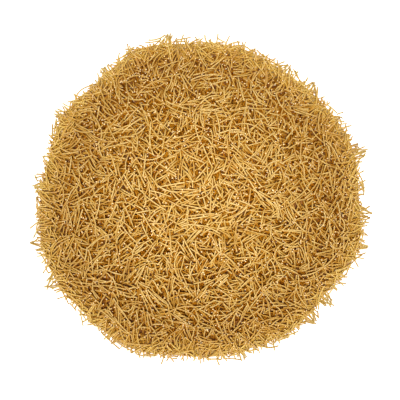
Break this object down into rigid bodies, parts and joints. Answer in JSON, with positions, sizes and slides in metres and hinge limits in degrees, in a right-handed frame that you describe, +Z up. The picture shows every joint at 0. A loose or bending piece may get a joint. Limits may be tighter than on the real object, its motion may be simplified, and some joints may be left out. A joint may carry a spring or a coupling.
{
  "type": "heap of short-cut whole wheat fideo",
  "caption": "Low round heap of loose, thin, short-cut whole wheat pasta, with a tufted uneven rim and a flat underside.",
  "frame": {"origin": "middle of the bounding box, on the flat underside that lies on the table", "axes": "+Z up, out of the table through the top of the heap; +X to the right and +Y away from the viewer as the heap is seen from above"},
  "size_m": [0.254, 0.2432, 0.0479],
  "materials": {
    "whole_wheat_pasta": "dry whole wheat pasta, golden tan, semi-matte, with fine bran flecks"
  },
  "bodies": {
    "root": {"fideo_heap": "whole_wheat_pasta"}
  },
  "joints": []
}
